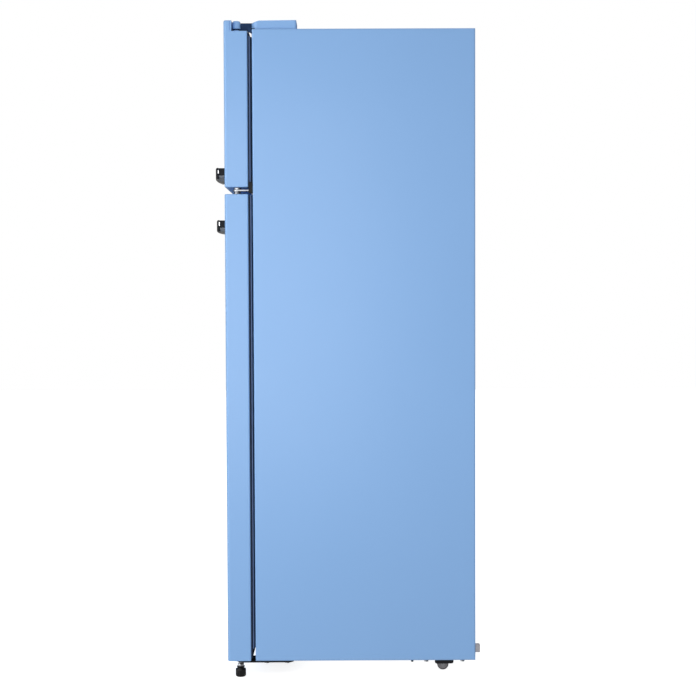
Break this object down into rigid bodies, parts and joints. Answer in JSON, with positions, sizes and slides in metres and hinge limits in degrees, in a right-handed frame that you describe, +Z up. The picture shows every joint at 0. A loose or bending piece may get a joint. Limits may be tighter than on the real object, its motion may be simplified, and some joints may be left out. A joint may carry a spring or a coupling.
{
  "type": "top freezer refrigerator",
  "caption": "Upright cabinet with a small freezer door above a tall fridge door, bar handles, shelves, door racks, a crisper drawer and a rear compressor bay.",
  "frame": {"origin": "centre of the footprint box, on the floor that the feet and rollers stand on", "axes": "+Z up, -Y towards the doors' fronts, +X towards the side with the door hinges"},
  "size_m": [0.548, 0.6156, 1.4464],
  "materials": {
    "blue_painted_steel": "satin baked enamel",
    "blue_plastic": "satin, colour-matched",
    "grey_coated_steel": "matt galvanised coat",
    "black_steel": "semi-matt powder coat",
    "navy_steel": "semi-matt powder coat",
    "zinc_steel": "bright zinc plate",
    "foam": "rigid polyurethane foam, skinned",
    "white_liner": "vacuum-formed, glossy",
    "aluminium_sheet": "roll-bonded, satin",
    "compressor_black": "gloss enamel",
    "copper": "drawn tube",
    "black_plastic": "fine moulded grain",
    "grey_plastic": "plain moulded",
    "foot_black_zinc": "black cup below a bright zinc stud",
    "roller_grey": "plain moulded",
    "rubber": "matt",
    "gasket": "soft extruded, satin",
    "glass": "toughened, polished edges",
    "clear_plastic": "translucent moulded",
    "white_plastic": "satin moulded",
    "frosted_lens": "frosted, ribbed",
    "chrome": "polished"
  },
  "bodies": {
    "cabinet": {"right_side_panel": "blue_painted_steel", "left_side_panel": "blue_painted_steel", "top_panel": "blue_painted_steel", "back_panel": "grey_coated_steel", "centre_beam": "blue_painted_steel", "bottom_beam": "black_steel", "bottom_pan": "grey_coated_steel", "condenser_tubes": "copper", "cabinet_foam": "foam", "freezer_liner": "white_liner", "fridge_liner": "white_liner", "evaporators": "aluminium_sheet", "top_hinge": "navy_steel", "top_hinge_pin_cap": "blue_plastic", "top_hinge_cover": "blue_plastic", "middle_hinge": "zinc_steel", "middle_hinge_cover": "black_plastic", "bottom_hinge": "black_steel", "left_foot_bracket": "black_steel", "cabinet_screws": "zinc_steel", "roller_brackets": "black_steel", "roller_axles": "zinc_steel", "compressor_base": "grey_coated_steel", "compressor_grommets": "rubber", "compressor": "compressor_black", "start_relay_cover": "black_plastic", "refrigerant_tubes": "copper", "filter_drier": "copper", "drip_tray": "black_plastic", "rear_wall_spacers": "grey_plastic", "cord_gland": "black_plastic", "freezer_shelf": "white_plastic", "glass_shelves": "glass", "shelf_trims": "white_plastic", "crisper_cover": "glass", "control_housing": "white_plastic", "lamp_lens": "frosted_lens"},
    "freezer_door": {"freezer_door_skin": "blue_painted_steel", "freezer_door_caps": "blue_plastic", "freezer_door_foam": "foam", "freezer_door_liner": "white_liner", "freezer_gasket": "gasket", "freezer_door_racks": "clear_plastic", "freezer_handle": "chrome", "freezer_handle_mounts": "black_plastic"},
    "fridge_door": {"fridge_door_skin": "blue_painted_steel", "fridge_door_caps": "blue_plastic", "fridge_door_foam": "foam", "fridge_door_liner": "white_liner", "fridge_gasket": "gasket", "fridge_door_racks": "clear_plastic", "fridge_handle": "chrome", "fridge_handle_mounts": "black_plastic"},
    "crisper_drawer": {"crisper_drawer": "clear_plastic"},
    "thermostat_knob": {"thermostat_knob": "white_plastic"},
    "door_switch_button": {"door_switch_button": "white_plastic"},
    "rear_roller_left": {"rear_roller_left": "roller_grey"},
    "rear_roller_right": {"rear_roller_right": "roller_grey"},
    "front_foot_left": {"front_foot_left": "foot_black_zinc"},
    "front_foot_right": {"front_foot_right": "foot_black_zinc"}
  },
  "joints": [
    {"name": "freezer_door_hinge", "type": "hinge", "parent": "cabinet", "child": "freezer_door", "pos_m": [0.252, -0.2233, 1.4166], "axis": [0, 0, 1], "range_deg": [0, 100]},
    {"name": "fridge_door_hinge", "type": "hinge", "parent": "cabinet", "child": "fridge_door", "pos_m": [0.252, -0.2233, 0.5466], "axis": [0, 0, 1], "range_deg": [0, 120]},
    {"name": "rear_roller_left_spin", "type": "hinge", "parent": "cabinet", "child": "rear_roller_left", "pos_m": [-0.199, 0.23, 0.0127], "axis": [1, 0, 0], "continuous": true},
    {"name": "rear_roller_right_spin", "type": "hinge", "parent": "cabinet", "child": "rear_roller_right", "pos_m": [0.199, 0.23, 0.0127], "axis": [1, 0, 0], "continuous": true},
    {"name": "front_foot_left_screw", "type": "slide", "parent": "cabinet", "child": "front_foot_left", "axis": [0, 0, -1], "range_m": [0, 0.01]},
    {"name": "front_foot_right_screw", "type": "slide", "parent": "cabinet", "child": "front_foot_right", "axis": [0, 0, -1], "range_m": [0, 0.01]},
    {"name": "crisper_drawer_slide", "type": "slide", "parent": "cabinet", "child": "crisper_drawer", "axis": [0, -1, 0], "range_m": [0, 0.06]},
    {"name": "thermostat_knob_turn", "type": "hinge", "parent": "cabinet", "child": "thermostat_knob", "pos_m": [0.2, -0.0671, 0.9566], "axis": [0, -1, 0], "range_deg": [0, 300]},
    {"name": "door_switch_slide", "type": "slide", "parent": "cabinet", "child": "door_switch_button", "axis": [0, -1, 0], "range_m": [0, 0.006]}
  ],
  "couplings": [
    {"joint": "door_switch_slide", "follows": "fridge_door_hinge", "m_per_rad": 0.00286}
  ]
}
